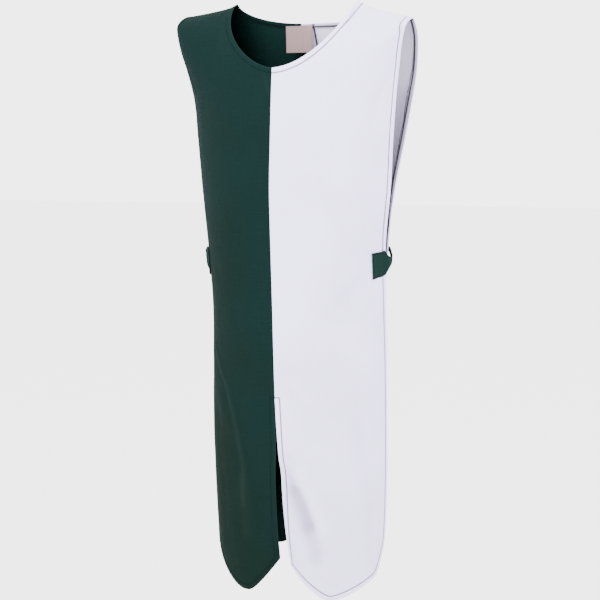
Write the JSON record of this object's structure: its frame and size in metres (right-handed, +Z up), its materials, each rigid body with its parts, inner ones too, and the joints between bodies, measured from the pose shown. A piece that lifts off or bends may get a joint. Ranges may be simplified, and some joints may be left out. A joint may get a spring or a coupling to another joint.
{
  "type": "tabard",
  "caption": "Sleeveless costume tabard, one half green and one half white, open at the sides with waist straps, a round neck, a centre slit and pointed tails. Filled out, hollow.",
  "frame": {"origin": "middle of the shoulder line, between the points where the shoulder seams meet the neck, where a wearer's shoulders hold the tabard", "axes": "+Z up along the wearer's height, +X to the wearer's left, -Y to the front"},
  "size_m": [0.411, 0.2525, 1.0081],
  "materials": {
    "green_cotton": "plain woven cotton, matt, dark green",
    "white_cotton": "plain woven cotton, matt, cool white",
    "strap_cotton": "folded cotton strap, matt, green",
    "label_tape": "woven tape, slight sheen, pinkish beige"
  },
  "bodies": {
    "root": {"front_green": "green_cotton", "front_white": "white_cotton", "back_green": "green_cotton", "back_white": "white_cotton", "strap_left": "strap_cotton", "strap_right": "strap_cotton", "neck_label": "label_tape"}
  },
  "joints": []
}
